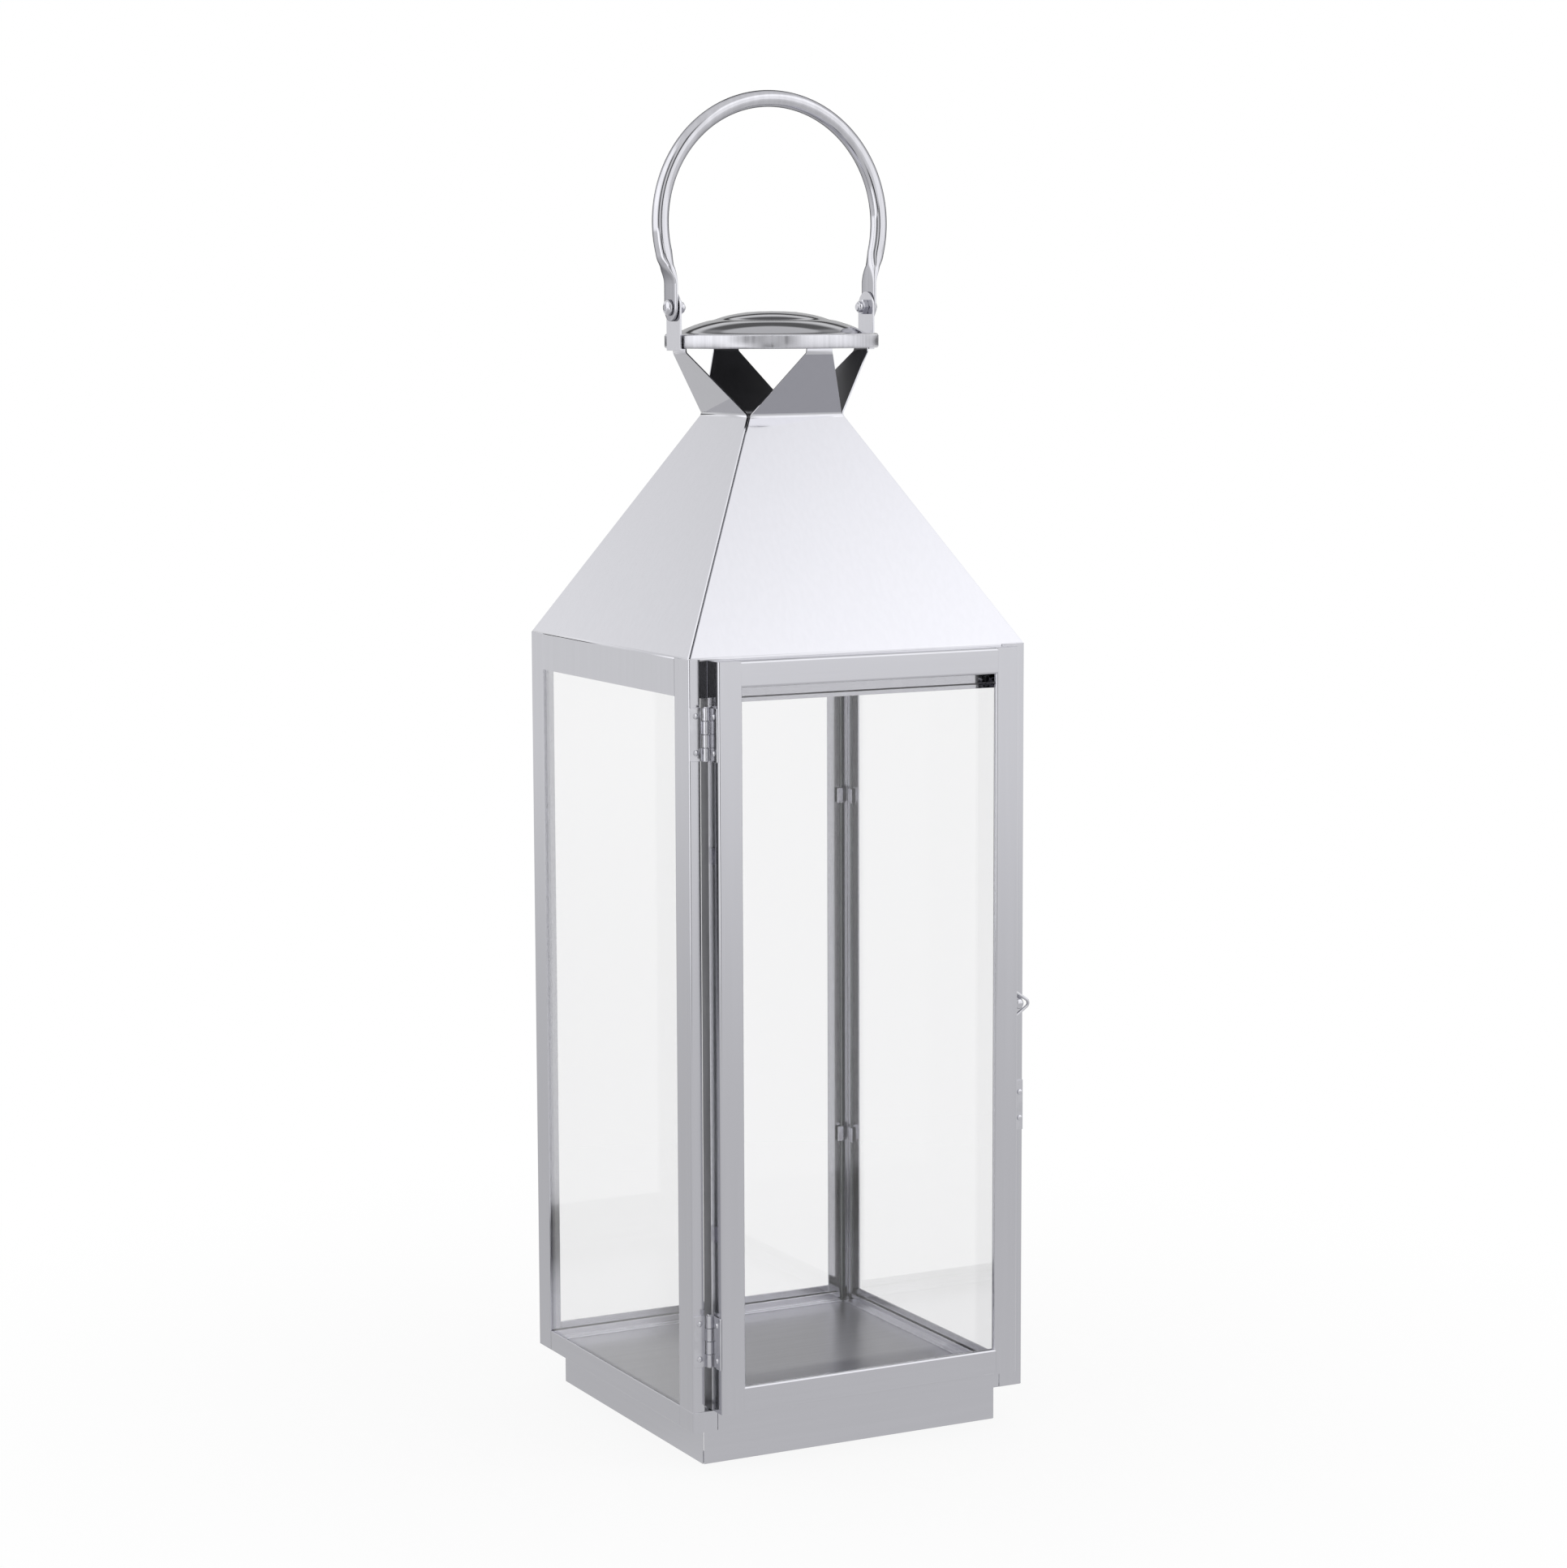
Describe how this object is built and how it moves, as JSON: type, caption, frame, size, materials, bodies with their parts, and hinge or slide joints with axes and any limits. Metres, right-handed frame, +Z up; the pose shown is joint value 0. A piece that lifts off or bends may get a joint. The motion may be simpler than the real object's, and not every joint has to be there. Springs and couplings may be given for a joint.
{
  "type": "candle lantern",
  "caption": "Square candle lantern of folded polished sheet with glazed sides, a hinged glass door with a wire latch, a vented pyramid roof under a domed cap, and a swinging tube handle.",
  "frame": {"origin": "centre of the plinth's footprint, on the surface the lantern stands on", "axes": "+Z up, -Y out of the door, -X towards the door's hinges; the handle swings about X"},
  "size_m": [0.1831, 0.1913, 0.6494],
  "materials": {
    "sheet": "polished stainless sheet with fine rolling streaks",
    "handle": "satin polished tube",
    "hardware": "bright plated steel",
    "glass": "clear float glass"
  },
  "bodies": {
    "frame": {"ear_left": "sheet", "ear_right": "sheet", "floor_plate": "sheet", "glass_bead_back": "sheet", "glass_bead_left": "sheet", "glass_bead_right": "sheet", "glass_clips": "sheet", "handle_nuts": "hardware", "handle_screws": "hardware", "hinge_lower_pin": "hardware", "hinge_lower_post_leaf": "hardware", "hinge_upper_pin": "hardware", "hinge_upper_post_leaf": "hardware", "latch_stud": "hardware", "pane_back": "glass", "pane_left": "glass", "pane_right": "glass", "plinth_back": "sheet", "plinth_front": "sheet", "plinth_left": "sheet", "plinth_right": "sheet", "post_back_left": "sheet", "post_back_right": "sheet", "post_front_left": "sheet", "post_front_right": "sheet", "post_rivets": "hardware", "rail_back": "sheet", "rail_left": "sheet", "rail_right": "sheet", "roof_back": "sheet", "roof_front": "sheet", "roof_left": "sheet", "roof_right": "sheet", "sill_front": "sheet", "strike_plate": "hardware", "strike_rivets": "hardware", "vent_cap": "sheet"},
    "door": {"door_stile_hinge": "sheet", "door_stile_latch": "sheet", "door_rail_top": "sheet", "door_rail_bottom": "sheet", "door_back_frame": "sheet", "door_pane": "glass", "hinge_upper_door_leaf": "hardware", "hinge_lower_door_leaf": "hardware", "door_rivets": "hardware", "latch_saddle": "hardware"},
    "handle": {"handle": "handle"},
    "latch": {"latch_bail": "hardware"}
  },
  "joints": [
    {"name": "door_hinge", "type": "hinge", "parent": "frame", "child": "door", "pos_m": [-0.0821, -0.0919, 0.2069], "axis": [0, 0, -1], "range_deg": [0, 95]},
    {"name": "handle_swing", "type": "hinge", "parent": "frame", "child": "handle", "pos_m": [0, 0, 0.5455], "axis": [1, 0, 0], "range_deg": [-140, 140]},
    {"name": "latch_swing", "type": "hinge", "parent": "door", "child": "latch", "pos_m": [0.0821, -0.0935, 0.21], "axis": [0, 0, -1], "range_deg": [0, 90]}
  ]
}
